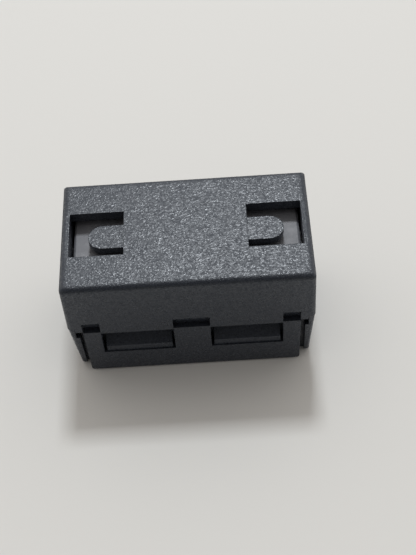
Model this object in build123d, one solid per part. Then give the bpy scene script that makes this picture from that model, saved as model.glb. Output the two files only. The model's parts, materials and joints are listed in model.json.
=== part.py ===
from build123d import *
import os

# Clip-on ferrite bead for a round cable: a split ferrite core in a hinged case that latches shut.
# X runs along the cable, -Y is the latch side, +Y the hinge side, +Z is up.
# The origin is the middle of the footprint, on the surface that the bead stands on.
# All lengths are in millimetres.

# Ferrite core, split at the parting plane
bore_radius = 4.5
core_length = 32.0
core_side_wall = 2.4
core_back_wall = 2.55
core_corner = 2.0
core_chamfer = 0.3
core_face_gap = 0.02

# Walls and fits of the two shells
skirt_wall = 1.4
cap_end_wall = 1.2
roof_wall = 1.5
pad_height = 1.2
tray_wall = 1.2
tray_end_wall = 1.15
core_clearance = 0.05
end_clearance = 0.25
flap_gap = 0.2
cap_overhang = 0.1
closing_gap = 0.05

# Outer form, with the draft of each wall in degrees
cap_corner = 0.6
cap_edge = 0.5
cap_draft = 0.5
tray_corner = 0.4
tray_edge = 0.3
tray_draft = 2.5
tray_end_draft = 3.2
tray_front_draft = 7.5
cavity_corner = 0.8
mouth_clearance = 0.3
mouth_chamfer = 0.35

# Windows in the top and bottom, each with a tongue that presses on the core
window_start = 8.65
window_width = 7.75
tray_window_rim = 0.6
tongue_reach = 5.05
tongue_width = 4.1
tongue_drop = 0.75
tongue_thickness = 1.1
foot_radius = 1.3

# Ribs that carry and centre the core inside the shells
pad_width = 1.0
pad_pitch = 6.0
pad_count = 3
rib_width = 1.0
rib_pitch = 8.0
rib_count = 4
rib_setback = 0.5
end_rib_width = 0.8
end_rib_offset = 5.8
end_rib_height = 4.5

# Latch flap of the upper shell, which hangs between the corner posts
flap_taper = 0.15
flap_corner = 0.4
middle_arm = 5.2
end_arm = 2.5
bar_height = 4.2
bar_foot = 0.35
lintel = 0.5
lead_in_depth = 0.5
lead_in_height = 0.9
root_height = 1.85
root_depth = 0.9
root_sink = 0.2

# Corner posts of the lower shell, beside the flap's end arms
post_width = 0.85
post_gap = 0.65
post_shoulder_width = 0.5
post_shoulder_drop = 1.8
post_rise = 0.7
post_clearance = 0.1

# Wedges of the lower shell, which the flap's bar catches under
wedge_side_gap = 0.4
wedge_bar_gap = 0.06
wedge_sink = 0.2
crest_height = 1.05
wedge_angle = 45.0
wedge_edge = 0.2

# Hinge: pins moulded between the lugs of the lower shell, open hooks on the upper shell
pin_radius = 0.6
pin_clearance = 0.05
hook_wall = 0.65
hook_gap = 0.25
lug_gap = 0.2
hook_side_gap = 0.35
lip_drop = 0.25
hinge_width = 30.4
middle_lug = 4.8
end_lug = 2.3
lug_depth = 3.0
pocket_gap = 0.2
overlap = 0.4

# Places worked out from the sizes above
core_half_width = bore_radius + core_side_wall
core_rise = bore_radius + core_back_wall
tray_inner_y = core_half_width + core_clearance
tray_y = tray_inner_y + tray_wall
cap_inner_y = tray_y + flap_gap
cap_y = cap_inner_y + skirt_wall
tray_inner_x = core_length / 2 + end_clearance
tray_x = tray_inner_x + tray_end_wall
cap_x = tray_x + cap_overhang
cap_inner_x = cap_x - cap_end_wall
parting = core_rise + pad_height + roof_wall
top = 2 * parting
mouth_radius = bore_radius + mouth_clearance
rim = parting - closing_gap
tray_front_y = cap_y - cap_overhang
post_top = rim + post_rise
shoulder_x = tray_x - post_width
post_x = shoulder_x - post_shoulder_width
flap_width = 2 * (post_x - post_gap)
bar_top = bar_foot + bar_height
knuckle_radius = pin_radius + pin_clearance + hook_wall
hinge_y = core_half_width + hook_gap + knuckle_radius
hinge_z = parting - lug_gap - knuckle_radius

# Anchors for blocks that grow from their lower face
ON_FLOOR = (Align.CENTER, Align.CENTER, Align.MIN)


def span_box(x0, x1, y0, y1, z0, z1):
    """A block between two corners."""
    middle = ((x0 + x1) / 2, (y0 + y1) / 2, (z0 + z1) / 2)
    return Pos(*middle) * Box(x1 - x0, y1 - y0, z1 - z0)


def along_x(profile, x0, x1):
    """A profile drawn in Y and Z, run along X from x0 to x1."""
    return Pos(x0, 0, 0) * extrude(Plane.YZ * profile, x1 - x0, dir=(1, 0, 0))


def tan_degrees(angle):
    """Tangent of an angle in degrees."""
    direction = Vector(1, 0, 0).rotate(Axis.Z, angle)
    return direction.Y / direction.X


def both_ends(piece):
    """The piece and its mirror image at the other end of the bead."""
    return piece + mirror(piece, Plane.YZ)


def turned_over(piece):
    """The piece mirrored in the parting plane, from the top to the bottom."""
    return mirror(piece, Plane.XY.offset(parting))


def even_places(count, pitch):
    """Evenly spaced places along X, centred on the middle."""
    return [(i - (count - 1) / 2) * pitch for i in range(count)]


def half_core():
    """The upper half of the ferrite core, a rounded block with half of the cable bore."""
    face_z = parting + core_face_gap
    back_z = parting + core_rise
    block = span_box(
        -core_length / 2, core_length / 2, -core_half_width, core_half_width, face_z, back_z
    )
    back_edges = block.faces().sort_by(Axis.Z)[-1].edges().filter_by(Axis.X)
    block = fillet(back_edges, core_corner)
    block -= along_x(Pos(0, parting) * Circle(bore_radius), -core_length, core_length)
    return chamfer(block.faces().filter_by(Axis.X).edges(), core_chamfer)


def mouth_cutter(end_x):
    """The round cable opening through both end walls, with a lead-in on the outside."""
    cutter = along_x(Pos(0, parting) * Circle(mouth_radius), -cap_x - overlap, cap_x + overlap)
    lead_in = Pos(end_x - mouth_chamfer / 2, 0, parting) * Rot(0, 90, 0) * Cone(
        mouth_radius, mouth_radius + mouth_chamfer, mouth_chamfer
    )
    return cutter + both_ends(lead_in)


def top_window(end_x):
    """The cut for one window in the roof."""
    half = window_width / 2
    return span_box(window_start, end_x, -half, half, top - roof_wall - overlap, top + overlap)


def tongue():
    """The sunk, round-ended tongue in a window, with a foot at its tip that holds the core."""
    surface = top - tongue_drop
    underside = surface - tongue_thickness
    tip_radius = tongue_width / 2
    tip_x = window_start + tongue_reach - tip_radius
    root = span_box(
        window_start - overlap, tip_x, -tip_radius, tip_radius, underside, surface
    )
    tip = Pos(tip_x, 0, underside) * Cylinder(tip_radius, tongue_thickness, align=ON_FLOOR)
    foot_z = parting + core_rise + core_clearance
    foot = Pos(tip_x, 0, foot_z) * Cylinder(foot_radius, surface - foot_z - overlap, align=ON_FLOOR)
    return root + tip + foot


def core_pads():
    """Cross ribs under the roof that the back of the core lies on."""
    pads = Part()
    foot_z = parting + core_rise + core_clearance
    reach = core_half_width - core_corner
    for x in even_places(pad_count, pad_pitch):
        pads += span_box(
            x - pad_width / 2, x + pad_width / 2, -reach, reach, foot_z, top - roof_wall + overlap
        )
    return pads


def cap_ribs():
    """Upright ribs inside the skirt and the end walls that centre the core in the cap."""
    ribs = Part()
    side = core_half_width + core_clearance
    foot_z = parting + rib_setback
    for x in even_places(rib_count, rib_pitch):
        rib = span_box(
            x - rib_width / 2, x + rib_width / 2, side, cap_inner_y + overlap,
            foot_z, top - roof_wall + overlap,
        )
        ribs += rib + mirror(rib, Plane.XZ)
    end_x = core_length / 2 + core_clearance
    end_rib = span_box(
        end_x, cap_inner_x + overlap, end_rib_offset - end_rib_width / 2,
        end_rib_offset + end_rib_width / 2, foot_z, foot_z + end_rib_height,
    )
    return ribs + both_ends(end_rib + mirror(end_rib, Plane.XZ))


def arm_spans():
    """Where the flap's three arms lie along X."""
    outer = flap_width / 2
    return [(-outer, end_arm - outer), (-middle_arm / 2, middle_arm / 2), (outer - end_arm, outer)]


def latch_flap():
    """Three arms and a cross bar, flush with the skirt, round the two latch windows."""
    seat = parting + overlap
    section = Polygon(
        (-cap_y, bar_foot),
        (-cap_inner_y - lead_in_depth, bar_foot),
        (-cap_inner_y, bar_foot + lead_in_height),
        (-cap_inner_y, seat),
        (-cap_inner_y - skirt_wall / 2, seat),
        (-cap_inner_y - skirt_wall / 2, parting),
        (-cap_y, parting),
        align=None,
    )
    sheet = along_x(section, -flap_width / 2, flap_width / 2)
    half_top = flap_width / 2
    half_foot = half_top - flap_taper
    face = Polygon(
        (-half_foot, bar_foot), (half_foot, bar_foot), (half_top, seat), (-half_top, seat),
        align=None,
    )
    face = fillet(face.vertices().group_by(Axis.Y)[0], flap_corner)
    front = Plane((0, 0, 0), x_dir=(1, 0, 0), z_dir=(0, -1, 0))
    flap = sheet & extrude(front * face, cap_y + overlap, dir=(0, -1, 0))
    spans = arm_spans()
    for left, right in zip(spans, spans[1:]):
        flap -= span_box(
            left[1], right[0], -cap_y - overlap, -cap_inner_y + overlap, bar_top, parting - lintel
        )
    return flap


def arm_roots():
    """The cuts that thin the flap's arms where they leave the skirt, so that they bend there."""
    cuts = Part()
    for x0, x1 in arm_spans():
        cuts += span_box(
            x0, x1, -cap_y - overlap, -cap_y + root_depth, parting - root_sink, parting + root_height
        )
    return cuts


def post_notches():
    """The cuts in the cap's front corners that the tray's corner posts rise into."""
    notch = span_box(
        shoulder_x - post_clearance, cap_x + overlap, -cap_y - overlap,
        post_clearance - cap_inner_y, parting - overlap, post_top + closing_gap,
    )
    return both_ends(notch)


def lug_spans():
    """Where the three hinge lugs lie along X."""
    outer = hinge_width / 2
    return [(-outer, end_lug - outer), (-middle_lug / 2, middle_lug / 2), (outer - end_lug, outer)]


def hinge_hooks():
    """Two open hooks that hang from the back of the cap and clip round the pins."""
    eye = Pos(hinge_y, hinge_z) * Circle(pin_radius + pin_clearance)
    ring = Pos(hinge_y, hinge_z) * Circle(knuckle_radius)
    open_side = Pos(hinge_y, hinge_z - lip_drop) * Rectangle(
        2 * knuckle_radius, 2 * knuckle_radius, align=(Align.MAX, Align.MIN)
    )
    neck = Pos(hinge_y, hinge_z) * Rectangle(
        knuckle_radius, parting + overlap - hinge_z, align=(Align.MIN, Align.MIN)
    )
    section = ring - open_side + neck - eye
    hooks = Part()
    spans = lug_spans()
    for left, right in zip(spans, spans[1:]):
        hooks += along_x(section, left[1] + hook_side_gap, right[0] - hook_side_gap)
    return hooks


def upper_shell():
    """The cap of the case: roof, skirt, latch flap and hinge hooks in one moulding."""
    outline = Pos(0, 0, parting) * RectangleRounded(2 * cap_x, 2 * cap_y, cap_corner)
    shell = extrude(outline, parting, dir=(0, 0, 1), taper=cap_draft)
    shell = chamfer(shell.faces().sort_by(Axis.Z)[-1].edges(), cap_edge)
    cavity = Pos(0, 0, parting) * Box(
        2 * cap_inner_x, 2 * cap_inner_y, parting - roof_wall, align=ON_FLOOR
    )
    shell -= fillet(cavity.edges().filter_by(Axis.Z), cavity_corner)
    shell -= both_ends(top_window(cap_inner_x))
    shell += both_ends(tongue())
    shell += core_pads() + cap_ribs()
    shell += latch_flap() + hinge_hooks()
    return shell - arm_roots() - post_notches() - mouth_cutter(cap_x)


def latch_wedges():
    """Two wedges on the front of the tray, each filling a window of the flap."""
    bottom = bar_top + wedge_bar_gap
    crest_y = cap_y - wedge_sink
    root_y = tray_inner_y + overlap
    rise = (crest_y - root_y) * tan_degrees(wedge_angle)
    section = Polygon(
        (-root_y, bottom),
        (-crest_y, bottom),
        (-crest_y, bottom + crest_height),
        (-root_y, bottom + crest_height + rise),
        align=None,
    )
    section = fillet(section.vertices().sort_by(Axis.X)[:2].sort_by(Axis.Y)[-1], wedge_edge)
    wedges = Part()
    spans = arm_spans()
    for left, right in zip(spans, spans[1:]):
        wedges += along_x(section, left[1] + wedge_side_gap, right[0] - wedge_side_gap)
    return wedges


def hinge_lugs():
    """Three rounded lugs on the back of the tray."""
    knuckle = Pos(hinge_y, hinge_z) * Circle(knuckle_radius)
    root = Pos(tray_inner_y, hinge_z + knuckle_radius) * Rectangle(
        overlap, knuckle_radius + lug_depth, align=(Align.MIN, Align.MAX)
    )
    section = make_hull(knuckle.edges() + root.edges())
    lugs = Part()
    for x0, x1 in lug_spans():
        lugs += along_x(section, x0, x1)
    return lugs


def hinge_pins():
    """The two pins, moulded from lug to lug."""
    pins = Part()
    spans = lug_spans()
    for left, right in zip(spans, spans[1:]):
        pins += along_x(
            Pos(hinge_y, hinge_z) * Circle(pin_radius), left[1] - overlap, right[0] + overlap
        )
    return pins


def hook_pockets():
    """The cuts through the tray's back wall that give the hooks room to turn."""
    cuts = Part()
    spans = lug_spans()
    foot_z = hinge_z - knuckle_radius - pocket_gap
    for left, right in zip(spans, spans[1:]):
        cuts += span_box(left[1], right[0], 0, 2 * cap_y, foot_z, top)
    return cuts


def tray_block():
    """The outside of the tray, whose walls all lean in towards its foot."""
    foot_x = tray_x - post_top * tan_degrees(tray_end_draft)
    front_foot_y = tray_front_y - post_top * tan_degrees(tray_front_draft)
    back_foot_y = tray_y - post_top * tan_degrees(tray_draft)
    seen_from_front = Polygon(
        (-foot_x, 0), (foot_x, 0), (tray_x, post_top), (-tray_x, post_top), align=None
    )
    seen_from_end = Polygon(
        (-front_foot_y, 0), (back_foot_y, 0), (tray_y, post_top), (-tray_front_y, post_top),
        align=None,
    )
    block = along_x(seen_from_end, -tray_x, tray_x)
    block &= extrude(Plane.XZ * seen_from_front, cap_y, both=True)
    level = block.edges().filter_by(Axis.X) + block.edges().filter_by(Axis.Y)
    block = fillet(block.edges() - level, tray_corner)
    return chamfer(block.faces().sort_by(Axis.Z)[0].edges(), tray_edge)


def flap_recess():
    """The cuts that leave the tray's corner posts: over the rim, and in front for the flap."""
    inner = span_box(-cap_x, cap_x, -cap_inner_y, cap_y, rim, top)
    middle = span_box(-shoulder_x, shoulder_x, -cap_y, -cap_inner_y + overlap, rim, top)
    wall_foot_y = tray_y - (rim + overlap) * tan_degrees(tray_draft)
    section = Polygon(
        (-cap_y, -overlap), (-wall_foot_y, -overlap), (-tray_y, rim), (-tray_y, top), (-cap_y, top),
        align=None,
    )
    recess = along_x(section, -post_x, post_x)
    over_shoulders = along_x(section, -shoulder_x, shoulder_x)
    over_shoulders &= span_box(
        -shoulder_x, shoulder_x, -cap_y, 0, rim - post_shoulder_drop, top
    )
    return inner + middle + recess + over_shoulders


def lower_shell():
    """The tray of the case: floor, leaning walls, corner posts, latch wedges and hinge."""
    shell = tray_block() - flap_recess()
    shell += latch_wedges() + hinge_lugs()
    cavity = Pos(0, 0, roof_wall) * Box(
        2 * tray_inner_x, 2 * tray_inner_y, parting, align=ON_FLOOR
    )
    shell -= fillet(cavity.edges().filter_by(Axis.Z), cavity_corner)
    shell -= turned_over(both_ends(top_window(tray_inner_x - tray_window_rim)))
    shell += turned_over(both_ends(tongue()) + core_pads())
    shell -= mouth_cutter(tray_x)
    return shell - hook_pockets() + hinge_pins()


def write_parts():
    """One STEP file for each piece, in the shared frame."""
    core = half_core()
    pieces = {
        "upper_shell": upper_shell(),
        "lower_shell": lower_shell(),
        "upper_ferrite": core,
        "lower_ferrite": turned_over(core),
    }
    os.makedirs("parts", exist_ok=True)
    for name, piece in pieces.items():
        print(name, round(piece.volume, 2), [round(v, 2) for v in piece.bounding_box().size])
        export_step(piece, f"parts/{name}.step")


write_parts()
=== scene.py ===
# %% [markdown]
# # Dressing a clip on ferrite bead
# The bead is a split tube of dark ferrite in a black moulded case. The case hinges open at the back,
# closes round a cable and holds itself shut with a latch flap at the front.
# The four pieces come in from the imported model, in metres, with +Z up, +X along the cable and the
# latch flap on the -Y side. Their shapes are right already, so this lesson is about surfaces: a
# spark-eroded grain on black nylon, and the dull sintered face of ferrite.

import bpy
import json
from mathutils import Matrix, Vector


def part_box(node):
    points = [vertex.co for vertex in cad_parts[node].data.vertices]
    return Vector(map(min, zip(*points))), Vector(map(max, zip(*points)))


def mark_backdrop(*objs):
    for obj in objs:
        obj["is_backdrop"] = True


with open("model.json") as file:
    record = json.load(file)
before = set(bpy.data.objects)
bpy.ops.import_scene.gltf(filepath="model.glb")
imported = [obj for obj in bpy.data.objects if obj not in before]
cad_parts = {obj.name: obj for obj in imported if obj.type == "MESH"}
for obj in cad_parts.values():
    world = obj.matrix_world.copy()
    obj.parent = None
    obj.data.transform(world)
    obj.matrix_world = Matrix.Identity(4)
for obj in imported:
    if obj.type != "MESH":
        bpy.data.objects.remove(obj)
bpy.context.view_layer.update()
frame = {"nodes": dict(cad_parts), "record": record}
print("pieces:", sorted(frame["nodes"]))

# %% Other modules, and a helper for sizes
import json
import math

import bpy
from mathutils import Matrix, Vector

MM = 0.001


def millimetres(*values):
    """Sizes given in millimetres, as the metres that Blender works in."""
    return Vector([value * MM for value in values])


print("a wall of 1.5 mm is", round(1.5 * MM, 4), "m")

# %% [markdown]
# ## Shader maths as plain expressions
# A material is a graph of nodes. Written node by node it is long and hard to read, so a small class
# wraps one output socket and overloads the arithmetic signs: `1 - mask * 0.3` then adds the Math
# nodes by itself. Colours can't pass through a Math node, because it turns them grey, so they are
# mixed by a Mix node in a method of their own.

# %% A socket that can be calculated with
class Signal:
    """One output socket of a shader node. Sums and products of signals add Math nodes."""

    def __init__(self, finish, socket):
        self.finish = finish
        self.socket = socket

    def maths(self, operation, *others):
        """A Math node that takes this signal first and then the others."""
        inputs = dict(enumerate((self, *others)))
        return self.finish.node("ShaderNodeMath", {"operation": operation}, inputs)

    def __add__(self, other):
        return self.maths("ADD", other)

    def __sub__(self, other):
        return self.maths("SUBTRACT", other)

    def __rsub__(self, other):
        return self * -1 + other

    def __mul__(self, other):
        return self.maths("MULTIPLY", other)

    __radd__ = __add__
    __rmul__ = __mul__


print("signs that add Math nodes: + - *")

# %% [markdown]
# Every other node comes from one method, `node`. It sets a node's settings first, because some of
# them change which sockets there are, and then fills or links the sockets.

# %% The tree of a material or a world
class Finish:
    """The empty node tree of a material or a world, and the methods that fill it."""

    def __init__(self, owner):
        owner.use_nodes = True
        self.owner = owner
        self.tree = owner.node_tree
        self.tree.nodes.clear()

    def node(self, kind, settings=None, inputs=None, output=0):
        """Adds a node: its settings first, then what each socket holds or is linked to."""
        made = self.tree.nodes.new(kind)
        for name, value in (settings or {}).items():
            setattr(made, name, value)
        for name, value in (inputs or {}).items():
            if isinstance(value, Signal):
                self.tree.links.new(value.socket, made.inputs[name])
            else:
                made.inputs[name].default_value = value
        return None if output is None else Signal(self, made.outputs[output])

    def surface(self, shader, kind="Material"):
        """Ends the tree: shader is what the material or the world shows."""
        self.node("ShaderNodeOutput" + kind, None, {"Surface": shader}, output=None)
        return self.owner


def new_material(name):
    return Finish(bpy.data.materials.new(name))


print("trees are filled by:", Finish.__name__)

# %% [markdown]
# A mask is a value from 0 to 1 that says where something is. Most start from a place on the piece: a
# ramp turns one coordinate of it into a mask.

# %% Places and masks
def place_on(finish):
    """Where on its piece a point lies, in metres. It moves and turns with the piece."""
    return finish.node("ShaderNodeTexCoord", output="Object")


def axis(place, letter):
    """One coordinate of a place, by its letter."""
    return place.finish.node("ShaderNodeSeparateXYZ", None, {0: place}, output=letter)


def ramp(value, low, high):
    """0 below low, 1 above high, and smooth between."""
    inputs = {"Value": value, "From Min": low, "From Max": high}
    return value.finish.node("ShaderNodeMapRange", {"interpolation_type": "SMOOTHSTEP"}, inputs)


print("masks are made by:", axis.__name__, ramp.__name__)

# %% [markdown]
# ## Black nylon with a spark-eroded grain
# The mould of the case is spark eroded, which leaves a fine pebbly grain on the plastic. Seen against
# the light the grain sparkles, so the flat top looks grey, while the walls that face away from the
# light look smooth and nearly black.
# The grain could be modelled, but its pits are under a third of a millimetre wide, and a case full of
# them would need millions of faces. The material does it in two ways instead. A bump of small noise
# bends the surface, and patches a fifth of a millimetre wide each have their own gloss, so that some
# catch the lamp and their neighbours don't. Object coordinates keep both fixed to the moulding.

# %% Noise and specks
def noise(place, pitch, detail, roughness=0.55):
    """Cloudy noise, 0 to 1, whose blobs are about one pitch apart."""
    inputs = {"Vector": place, "Scale": 1 / pitch, "Detail": detail, "Roughness": roughness}
    return place.finish.node("ShaderNodeTexNoise", None, inputs)


def specks(place, pitch):
    """Patches about one pitch wide, each with one chance value from 0 to 1."""
    inputs = {"Vector": place, "Scale": 1 / pitch}
    return axis(place.finish.node("ShaderNodeTexVoronoi", None, inputs, "Color"), "X")


print("grain is made by:", noise.__name__, specks.__name__)

# %% Sizes of the grain
GRAIN_PITCH = 0.32 * MM
GRAIN_DEPTH = 0.07 * MM
SPECK_PITCH = 0.20 * MM
CLOUD_PITCH = 9 * MM
print("grain", round(GRAIN_PITCH / MM, 2), "mm and specks", round(SPECK_PITCH / MM, 2), "mm apart")

# %% Colours and gloss of the plastic
CASE_COLOUR = (0.0125, 0.0175, 0.0285, 1)
WORN_COLOUR = (0.0300, 0.0345, 0.0450, 1)
SPECK_SHARE = 0.6
CASE_ROUGHNESS = 0.63
SPECK_GLOSS = 0.38
CLOUD_GLOSS = 0.08
CASE_IOR = 1.58
SHEEN_TINT = (0.91, 0.95, 1.00, 1)
print("roughness goes from", CASE_ROUGHNESS, "down to", round(CASE_ROUGHNESS - SPECK_GLOSS, 2))

# %% [markdown]
# A Mix node has its sockets for numbers, vectors and colours side by side, so they go by their place
# here. Vectors come in at 4 and 5 and leave at 1. Colours come in at 6 and 7 and leave at 2.

# %% Mixing colours and directions
def blend(factor, first, second):
    """A colour that goes from first to second as factor goes from 0 to 1."""
    inputs = {0: factor, 6: first, 7: second}
    return factor.finish.node("ShaderNodeMix", {"data_type": "RGBA"}, inputs, output=2)


def blend_directions(factor, first, second):
    """A direction that goes from first to second as factor goes from 0 to 1."""
    inputs = {0: factor, 4: first, 5: second}
    return factor.finish.node("ShaderNodeMix", {"data_type": "VECTOR"}, inputs, output=1)


print("mixed by:", blend.__name__, blend_directions.__name__)

# %% [markdown]
# No edge of a moulding is sharp, and the rim round the top is rounded more than any other edge. In
# the model the rim is a small chamfer, which carries the outline. The Bevel node then shades the
# edges as if they were round. A mask finds the rim, and the larger radius is used there.

# %% Rounded edges and bump
def rounded(finish, radius, samples):
    """The direction of the surface, bent at edges as if they were rounded."""
    return finish.node("ShaderNodeBevel", {"samples": samples}, {"Radius": radius})


def bump(height, depth, strength=1.0, under=None):
    """Bends a surface direction by a height from 0 to 1, which stands for a depth."""
    inputs = {"Strength": strength, "Distance": depth, "Height": height}
    if under is not None:
        inputs["Normal"] = under
    return height.finish.node("ShaderNodeBump", None, inputs)


print("directions are bent by:", rounded.__name__, bump.__name__)

# %% Sizes of the rounded edges
EDGE_ROUNDING = 0.12 * MM
RIM_ROUNDING = 1.1 * MM
END_RIM_WIDTH = 1.2 * MM
FRONT_RIM_WIDTH = 1.7 * MM
RIM_DEPTH = 1.7 * MM
RIM_FADE = 0.2
EDGE_SAMPLES = 6
RIM_SAMPLES = 12
print("edges rounded by", round(EDGE_ROUNDING / MM, 2), "mm and the rim by", round(RIM_ROUNDING / MM, 2))


# %% Where the rim is
def near(value, face, width):
    """0 deeper inside than a width, and 1 from there out to the face, after a short fade."""
    return ramp(value, face - width, face - width * (1 - RIM_FADE))


def rim_mask(place):
    """1 close to the outer faces of the case, near its top."""
    low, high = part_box("upper_shell")
    near_end = near(axis(place, "X").maths("ABSOLUTE"), high.x, END_RIM_WIDTH)
    near_front = near(axis(place, "Y").maths("ABSOLUTE"), -low.y, FRONT_RIM_WIDTH)
    near_top = near(axis(place, "Z"), high.z, RIM_DEPTH)
    return near_end.maths("MAXIMUM", near_front) * near_top


# %% The case plastic
def case_plastic():
    finish = new_material("case_plastic")
    place = place_on(finish)
    pits = noise(place, GRAIN_PITCH, 2.0)
    speck = specks(place, SPECK_PITCH)
    cloud = noise(place, CLOUD_PITCH, 3.0)
    edges = rounded(finish, EDGE_ROUNDING, EDGE_SAMPLES)
    rim = rounded(finish, RIM_ROUNDING, RIM_SAMPLES)
    smooth = blend_directions(rim_mask(place), edges, rim)
    wear = speck * SPECK_SHARE + cloud * (1 - SPECK_SHARE)
    roughness = CASE_ROUGHNESS + (cloud - 0.5) * CLOUD_GLOSS - speck * SPECK_GLOSS
    shader = finish.node("ShaderNodeBsdfPrincipled", None, {
        "Base Color": blend(wear, CASE_COLOUR, WORN_COLOUR),
        "Roughness": roughness,
        "Normal": bump(pits, GRAIN_DEPTH, under=smooth),
        "IOR": CASE_IOR,
        "Specular Tint": SHEEN_TINT,
    })
    return finish.surface(shader)


nylon = case_plastic()
print("case plastic:", len(nylon.node_tree.nodes), "nodes")

# %% [markdown]
# ## Sintered ferrite
# Ferrite is pressed from powder and fired. Its faces are dark grey and dull, finer than the grain of
# the case, with paler patches where something has rubbed against them.

# %% Sizes and colours of the ferrite
POWDER_PITCH = 0.16 * MM
POWDER_DEPTH = 0.016 * MM
RUBBED_PITCH = 2.5 * MM
RUBBED_FROM, RUBBED_TO = 0.42, 0.72
FERRITE_COLOUR = (0.180, 0.189, 0.214, 1)
RUBBED_COLOUR = (0.245, 0.255, 0.285, 1)
FERRITE_ROUGHNESS = 0.62
RUBBED_GLOSS = 0.1
print("powder", round(POWDER_PITCH / MM, 2), "mm and rubbed patches", round(RUBBED_PITCH / MM, 1), "mm")


# %% The ferrite
def ferrite():
    finish = new_material("ferrite")
    place = place_on(finish)
    powder = noise(place, POWDER_PITCH, 3.0)
    rubbed = noise(place, RUBBED_PITCH, 4.0, 0.65)
    patches = ramp(rubbed, RUBBED_FROM, RUBBED_TO)
    edges = rounded(finish, EDGE_ROUNDING, EDGE_SAMPLES)
    shader = finish.node("ShaderNodeBsdfPrincipled", None, {
        "Base Color": blend(patches, FERRITE_COLOUR, RUBBED_COLOUR),
        "Roughness": FERRITE_ROUGHNESS - rubbed * RUBBED_GLOSS,
        "Normal": bump(powder, POWDER_DEPTH, under=edges),
    })
    return finish.surface(shader)


core = ferrite()
print("ferrite:", len(core.node_tree.nodes), "nodes")

# %% [markdown]
# ## Giving the pieces their finishes
# The record says which material slot each piece has, so the finishes are handed out by slot name and
# no piece is forgotten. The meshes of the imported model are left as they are.

# %% Hand out the finishes
finishes = {"case_plastic": nylon, "ferrite": core}
slots = {part["node"]: part["material_slot"] for part in frame["record"]["subparts"]}
for name, piece in frame["nodes"].items():
    piece.data.materials.clear()
    piece.data.materials.append(finishes[slots[name]])
    print(name, "->", slots[name])

# %% [markdown]
# ## A pale table without a horizon
# The bead stands on white paper. A large plane takes its shadow, and the world behind is just as
# pale. Far from the bead the plane fades into the colour of that backdrop, so that no horizon shows
# in the other views. Light Path tells which rays see the backdrop: those from the camera, and those
# that a shiny or a clear surface sends on. All other rays see the lit paper, so the fade changes
# only what is seen or mirrored.

# %% Which rays see the backdrop
BACKDROP_COLOUR = (0.69, 0.685, 0.67, 1)


def sees_backdrop(finish):
    """1 for rays from the camera, a mirroring or a clear surface, and 0 for the others."""
    seen = finish.node("ShaderNodeLightPath", output="Is Camera Ray")
    for ray in ("Is Glossy Ray", "Is Transmission Ray"):
        seen = seen.maths("MAXIMUM", finish.node("ShaderNodeLightPath", output=ray))
    return seen


def change_shader(factor, first, second):
    """A shader that goes from first to second as factor goes from 0 to 1."""
    return factor.finish.node("ShaderNodeMixShader", None, {0: factor, 1: first, 2: second})


print("backdrop:", BACKDROP_COLOUR[:3])

# %% Sizes and colour of the table
TABLE_SIZE = 3.0
TABLE_COLOUR = (0.668, 0.677, 0.672, 1)
PAPER_ROUGHNESS = 0.85
PAPER_SHINE = 0.2
FIBRE_PITCH = 1.2 * MM
FIBRE_DEPTH = 0.03 * MM
FIBRE_STRENGTH = 0.25
FADE_START = 0.14
FADE_END = 0.45
print("the table fades from", FADE_START, "to", FADE_END, "m away")


# %% The paper
def paper():
    finish = new_material("paper_table")
    place = place_on(finish)
    fibre = noise(place, FIBRE_PITCH, 4.0, 0.6)
    shader = finish.node("ShaderNodeBsdfPrincipled", None, {
        "Base Color": TABLE_COLOUR,
        "Roughness": PAPER_ROUGHNESS,
        "Normal": bump(fibre, FIBRE_DEPTH, FIBRE_STRENGTH),
        "Specular IOR Level": PAPER_SHINE,
    })
    away = finish.node("ShaderNodeVectorMath", {"operation": "LENGTH"}, {0: place}, output="Value")
    fade = ramp(away, FADE_START, FADE_END) * sees_backdrop(finish)
    backdrop = finish.node("ShaderNodeEmission", None, {"Color": BACKDROP_COLOUR, "Strength": 1.0})
    return finish.surface(change_shader(fade, shader, backdrop))


white_paper = paper()
print("paper:", len(white_paper.node_tree.nodes), "nodes")


# %% The table top
def table():
    bpy.ops.mesh.primitive_plane_add(size=TABLE_SIZE, location=(0, 0, 0))
    top = bpy.context.object
    top.name = "table_top"
    top.data.materials.append(white_paper)
    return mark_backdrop(top)


table()
print("table top:", TABLE_SIZE, "m square")

# %% [markdown]
# ## Light
# Soft light comes from all round, slightly warm and stronger from behind, as near a window. A compact
# lamp stands behind and above the bead. The top mirrors it towards the camera, which makes the grain
# sparkle, and it throws the short shadow in front.

# %% The world
BACK_LEVEL = 1.00
FRONT_LEVEL = 0.28
ROOM_COLOUR = (1.0, 0.94, 0.88, 1)
ROOM_TURN = 0.6


def soft_room():
    room = Finish(bpy.data.worlds.new("soft_room"))
    backwards = axis(room.node("ShaderNodeTexCoord", output="Generated"), "Y")
    towards_back = ramp(backwards, -ROOM_TURN, ROOM_TURN)
    level = FRONT_LEVEL + towards_back * (BACK_LEVEL - FRONT_LEVEL)
    light = room.node("ShaderNodeBackground", None, {"Color": ROOM_COLOUR, "Strength": level})
    backdrop = room.node("ShaderNodeBackground", None, {"Color": BACKDROP_COLOUR, "Strength": 1.0})
    return room.surface(change_shader(sees_backdrop(room), light, backdrop), "World")


bpy.context.scene.world = soft_room()
print("light from the back and the front:", BACK_LEVEL, FRONT_LEVEL)

# %% [markdown]
# The lamp and the camera are placed by the way to look at them from the bead, as an azimuth and an
# elevation in degrees, which is easier to picture than coordinates.

# %% A direction from the bead
BEAD_MIDDLE = millimetres(0, 0, 10)


def direction(azimuth, elevation):
    """The way to look from the bead. Azimuth 0 is to the front, at -Y, and 90 is to +X."""
    around, above = math.radians(azimuth), math.radians(elevation)
    level = Vector((math.sin(around), -math.cos(around), 0)) * math.cos(above)
    return level + Vector((0, 0, math.sin(above)))


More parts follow.
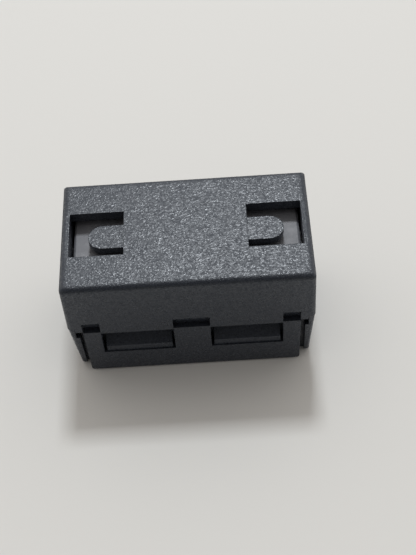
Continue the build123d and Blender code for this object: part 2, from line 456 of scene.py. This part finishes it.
def facing_bead(towards, distance):
    """The placing of something that stands in a direction from the bead and looks back at it."""
    turned = towards.to_track_quat("Z", "Y").to_matrix().to_4x4()
    return Matrix.Translation(BEAD_MIDDLE + towards * distance) @ turned


print("behind and above is", tuple(round(part, 2) for part in direction(180, 60)))

# %% The lamp
LAMP_SIDE = 0.10
LAMP_DISTANCE = 0.70
LAMP_AZIMUTH = 176
LAMP_ELEVATION = 60
LAMP_RADIANCE = 76
LAMP_COLOUR = (0.97, 0.99, 1.0)


def key_lamp():
    data = bpy.data.lights.new("key_lamp", "AREA")
    data.shape = "SQUARE"
    data.size = LAMP_SIDE
    data.energy = LAMP_RADIANCE * math.pi * LAMP_SIDE ** 2
    data.color = LAMP_COLOUR
    made = bpy.data.objects.new("key_lamp", data)
    made.matrix_world = facing_bead(direction(LAMP_AZIMUTH, LAMP_ELEVATION), LAMP_DISTANCE)
    bpy.context.scene.collection.objects.link(made)
    return data


print("key lamp:", round(key_lamp().energy, 2), "W")

# %% [markdown]
# ## A dark card
# The rim of the top looks nearly black in front, because it mirrors what stands behind the camera. A
# dark card takes the place of the photographer. It shows only in reflections: no camera sees it, and
# it takes no soft light away and throws no shadow.

# %% The card
CARD_SIDES = (1.4, 0.85)
CARD_DISTANCE = 0.45
CARD_ELEVATION = 42
CARD_COLOUR = (0.03, 0.03, 0.03, 1)


def dark_card():
    finish = new_material("dark_card")
    shader = finish.node("ShaderNodeBsdfDiffuse", None, {"Color": CARD_COLOUR})
    bpy.ops.mesh.primitive_plane_add(size=1)
    card = bpy.context.object
    card.name = "dark_card"
    card.scale = (*CARD_SIDES, 1)
    card.matrix_world = facing_bead(direction(0, CARD_ELEVATION), CARD_DISTANCE) @ card.matrix_basis
    card.data.materials.append(finish.surface(shader))
    card.visible_camera = False
    card.visible_diffuse = False
    card.visible_shadow = False
    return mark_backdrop(card)


dark_card()
print("dark card:", CARD_SIDES, "m")

# %% [markdown]
# ## The camera
# It looks down on the front of the bead, as a hand-held camera would, with a slight roll. Its place
# was worked out from the outline of the case, so that the walls converge as they should.

# %% Where the camera is
CAMERA_PLACE = millimetres(5.76, -102.71, 141.26)
CAMERA_ELEVATION = 52.35
CAMERA_AZIMUTH = 1.78
CAMERA_ROLL = -4.92


def camera_turn():
    """The camera's own axes: it looks down its -Z, with +X to the right and +Y up."""
    back = direction(CAMERA_AZIMUTH, CAMERA_ELEVATION)
    roll = math.radians(CAMERA_ROLL)
    level = (-back).cross(Vector((0, 0, 1))).normalized()
    upright = level.cross(-back)
    right = math.cos(roll) * level + math.sin(roll) * upright
    up = -math.sin(roll) * level + math.cos(roll) * upright
    return Matrix((right, up, back)).transposed().to_4x4()


print("camera at", tuple(round(part, 3) for part in CAMERA_PLACE), "m")

# %% The camera
FOCAL_PIXELS = 1143.0
IMAGE_HEIGHT = 555
SENSOR = 36.0
CLIP_START = 0.005


def camera():
    data = bpy.data.cameras.new("camera")
    data.sensor_fit = "VERTICAL"
    data.sensor_height = SENSOR
    data.lens = FOCAL_PIXELS * SENSOR / IMAGE_HEIGHT
    data.clip_start = CLIP_START
    made = bpy.data.objects.new("camera", data)
    made.matrix_world = Matrix.Translation(CAMERA_PLACE) @ camera_turn()
    bpy.context.scene.collection.objects.link(made)
    return made


bpy.context.scene.camera = camera()
print(f"camera: {bpy.context.scene.camera.data.lens:.1f} mm lens")

# %% [markdown]
# ## Finishing
# The standard view transform shows colours as they are written.

# %% Finish
bpy.context.scene.view_settings.view_transform = "Standard"
